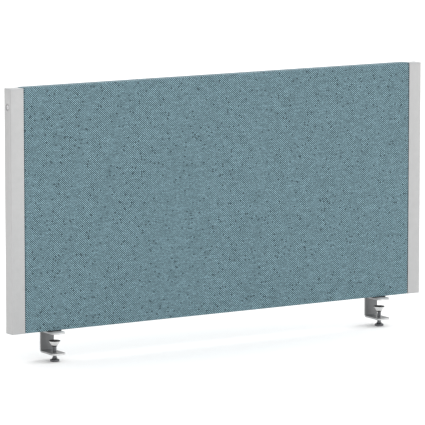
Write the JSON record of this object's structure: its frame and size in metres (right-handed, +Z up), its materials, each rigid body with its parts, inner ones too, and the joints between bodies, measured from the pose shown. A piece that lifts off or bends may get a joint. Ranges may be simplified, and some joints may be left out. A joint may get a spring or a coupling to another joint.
{
  "type": "desk privacy panel",
  "caption": "Upholstered rectangular desk screen with end trims, held above a desk edge by C-clamps with screw spindles.",
  "frame": {"origin": "on the desk's top plane and rear edge line, midway between the clamps: Z = 0 is the underside of the clamps' top flanges and Y = 0 the inner face of their back plates", "axes": "+X along the panel to the right, seen from the desk's user side; +Y away from the desk; +Z up"},
  "size_m": [1.2, 0.067, 0.6765],
  "materials": {
    "timber": "matte",
    "core_felt": "matte",
    "padding_felt": "matte",
    "cover_fabric": "matte",
    "staple_wire": "satin",
    "insert_brass": "satin",
    "trim_aluminium": "satin",
    "cap_plastic": "satin",
    "screw_steel": "satin",
    "bracket_steel": "satin",
    "spacer_rubber": "matte",
    "nut_steel": "satin",
    "spindle_steel": "satin",
    "knob_steel": "satin",
    "washer_nylon": "matte",
    "foot_steel": "satin",
    "foot_rubber": "matte"
  },
  "bodies": {
    "panel": {"top_rail": "timber", "bottom_rail": "timber", "left_stile": "timber", "right_stile": "timber", "centre_stile": "timber", "frame_dowels": "timber", "left_core": "core_felt", "right_core": "core_felt", "front_padding": "padding_felt", "rear_padding": "padding_felt", "fabric_cover": "cover_fabric", "cover_staples": "staple_wire", "rail_inserts": "insert_brass", "left_trim": "trim_aluminium", "right_trim": "trim_aluminium", "left_top_cap": "cap_plastic", "right_top_cap": "cap_plastic", "left_bottom_cap": "cap_plastic", "right_bottom_cap": "cap_plastic", "side_screws": "screw_steel", "cap_screws": "screw_steel", "left_bracket": "bracket_steel", "right_bracket": "bracket_steel", "left_spacer": "spacer_rubber", "right_spacer": "spacer_rubber", "bracket_screws": "screw_steel", "left_press_nut": "nut_steel", "right_press_nut": "nut_steel"},
    "left_washer": {"left_thrust_washer": "washer_nylon"},
    "left_spindle": {"left_spindle": "spindle_steel", "left_knob": "knob_steel"},
    "left_foot": {"left_foot_cup": "foot_steel", "left_ball_retainer": "spindle_steel", "left_foot_pad": "foot_rubber"},
    "right_washer": {"right_thrust_washer": "washer_nylon"},
    "right_spindle": {"right_spindle": "spindle_steel", "right_knob": "knob_steel"},
    "right_foot": {"right_foot_cup": "foot_steel", "right_ball_retainer": "spindle_steel", "right_foot_pad": "foot_rubber"}
  },
  "joints": [
    {"name": "left_screw_travel", "type": "slide", "parent": "panel", "child": "left_washer", "axis": [0, 0, 1], "range_m": [-0.0141, 0.0067]},
    {"name": "left_screw_turn", "type": "hinge", "parent": "left_washer", "child": "left_spindle", "pos_m": [-0.479, -0.0365, -0.05], "axis": [0, 0, 1], "range_deg": [-3384.5, 1608.5]},
    {"name": "left_foot_tilt", "type": "hinge", "parent": "left_washer", "child": "left_foot", "pos_m": [-0.479, -0.0365, -0.0267], "axis": [1, 0, 0], "range_deg": [-5, 5]},
    {"name": "right_screw_travel", "type": "slide", "parent": "panel", "child": "right_washer", "axis": [0, 0, 1], "range_m": [-0.0141, 0.0067]},
    {"name": "right_screw_turn", "type": "hinge", "parent": "right_washer", "child": "right_spindle", "pos_m": [0.479, -0.0365, -0.05], "axis": [0, 0, 1], "range_deg": [-3384.5, 1608.5]},
    {"name": "right_foot_tilt", "type": "hinge", "parent": "right_washer", "child": "right_foot", "pos_m": [0.479, -0.0365, -0.0267], "axis": [1, 0, 0], "range_deg": [-5, 5]}
  ],
  "couplings": [
    {"joint": "left_screw_turn", "follows": "left_screw_travel", "rad_per_m": 4188.8},
    {"joint": "right_screw_turn", "follows": "right_screw_travel", "rad_per_m": 4188.8}
  ]
}
